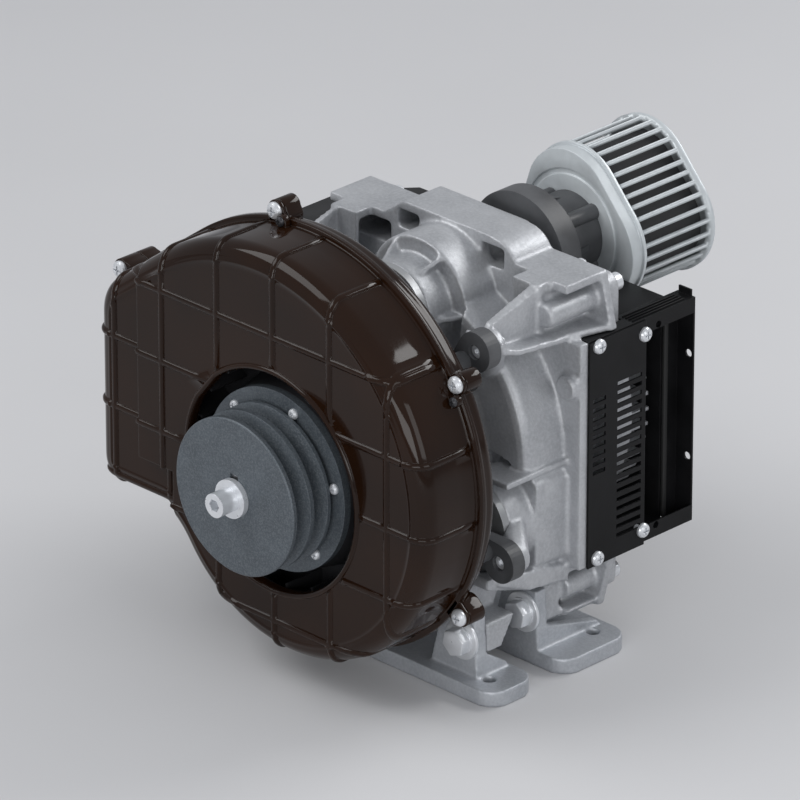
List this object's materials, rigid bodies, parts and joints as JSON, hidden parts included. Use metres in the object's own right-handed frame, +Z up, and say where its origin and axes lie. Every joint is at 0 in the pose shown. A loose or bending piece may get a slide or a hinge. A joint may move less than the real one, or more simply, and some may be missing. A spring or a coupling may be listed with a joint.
{
  "type": "scroll compressor air end",
  "caption": "Belt-driven oil-free scroll air end: volute fan casing, cast frame, fixed and orbiting scrolls, air ducts, suction filter and bolt-down feet.",
  "frame": {"origin": "on the floor plane under the feet, at the centre of the four foot holes", "axes": "+Z up, +Y along the shaft from the belt pulley to the scrolls, +X towards the side with the slotted guard and the open outlet duct"},
  "size_m": [0.3538, 0.4325, 0.3465],
  "materials": {
    "cast_alloy": "sand-cast, light grey, fine grain",
    "cast_alloy_feet": "cast, light grey",
    "machined_alloy": "machined, satin",
    "zinc_steel": "bright zinc",
    "dark_screw": "blackened",
    "dark_cast": "dark grey, satin",
    "casing_gloss": "black-brown, high gloss",
    "duct_black": "black, satin powder coat",
    "seal_black": "matt",
    "filter_alloy": "satin",
    "filter_media": "pleated, dark",
    "brass_fitting": "machined",
    "shaft_steel": "ground",
    "bearing_steel": "ground",
    "pulley_iron": "dark blue-grey, fine speckle",
    "impeller_alloy": "black"
  },
  "bodies": {
    "frame": {"main_frame": "cast_alloy", "front_foot": "cast_alloy_feet", "rear_foot": "cast_alloy_feet", "foot_bolts": "zinc_steel", "casing_brackets": "dark_cast", "bracket_bolts": "zinc_steel", "fan_casing_back": "casing_gloss", "fan_cover_front": "casing_gloss", "cover_screws": "zinc_steel", "cover_small_screws": "dark_screw", "side_duct": "duct_black", "outlet_duct": "duct_black", "duct_guard": "duct_black", "guard_screws": "zinc_steel", "fixed_scroll": "cast_alloy", "fixed_tip_seal": "seal_black", "dust_seal": "seal_black", "scroll_bolts": "zinc_steel", "rear_shroud": "duct_black", "discharge_fitting": "brass_fitting", "intake_housing": "dark_cast", "intake_adapter": "dark_cast", "filter_base": "filter_alloy", "filter_element": "filter_media", "filter_cage": "filter_alloy", "filter_nut": "filter_alloy", "nose_seal": "seal_black", "front_bearing_outer": "bearing_steel", "rear_bearing_outer": "bearing_steel", "aux_bearings": "bearing_steel", "aux_cover_top": "machined_alloy", "aux_cover_left": "machined_alloy", "aux_cover_right": "machined_alloy"},
    "crank": {"crankshaft": "shaft_steel", "pulley": "pulley_iron", "pulley_key": "shaft_steel", "pulley_washer": "zinc_steel", "pulley_bolt": "zinc_steel", "fan_hub": "pulley_iron", "fan_impeller": "impeller_alloy", "fan_hub_bolts": "zinc_steel", "front_bearing_inner": "bearing_steel", "rear_bearing_inner": "bearing_steel", "bearing_balls": "bearing_steel", "counterweight": "machined_alloy", "counterweight_bolts": "zinc_steel"},
    "orbiter": {"orbiting_scroll": "cast_alloy", "orbit_tip_seal": "seal_black", "orbit_bearing": "bearing_steel", "aux_orbit_bearings": "bearing_steel"},
    "aux_top": {"aux_crank_top": "shaft_steel"},
    "aux_left": {"aux_crank_left": "shaft_steel"},
    "aux_right": {"aux_crank_right": "shaft_steel"}
  },
  "joints": [
    {"name": "crank_spin", "type": "hinge", "parent": "frame", "child": "crank", "pos_m": [0, 0, 0.16], "axis": [0, 1, 0], "continuous": true},
    {"name": "orbit_turn", "type": "hinge", "parent": "crank", "child": "orbiter", "pos_m": [0, 0, 0.1657], "axis": [0, 1, 0], "continuous": true},
    {"name": "aux_top_spin", "type": "hinge", "parent": "frame", "child": "aux_top", "pos_m": [0, 0, 0.253], "axis": [0, 1, 0], "continuous": true},
    {"name": "aux_left_spin", "type": "hinge", "parent": "frame", "child": "aux_left", "pos_m": [-0.08054, 0, 0.1135], "axis": [0, 1, 0], "continuous": true},
    {"name": "aux_right_spin", "type": "hinge", "parent": "frame", "child": "aux_right", "pos_m": [0.08054, 0, 0.1135], "axis": [0, 1, 0], "continuous": true}
  ],
  "couplings": [
    {"joint": "orbit_turn", "follows": "crank_spin", "ratio": -1},
    {"joint": "aux_top_spin", "follows": "crank_spin", "ratio": 1},
    {"joint": "aux_left_spin", "follows": "crank_spin", "ratio": 1},
    {"joint": "aux_right_spin", "follows": "crank_spin", "ratio": 1}
  ]
}
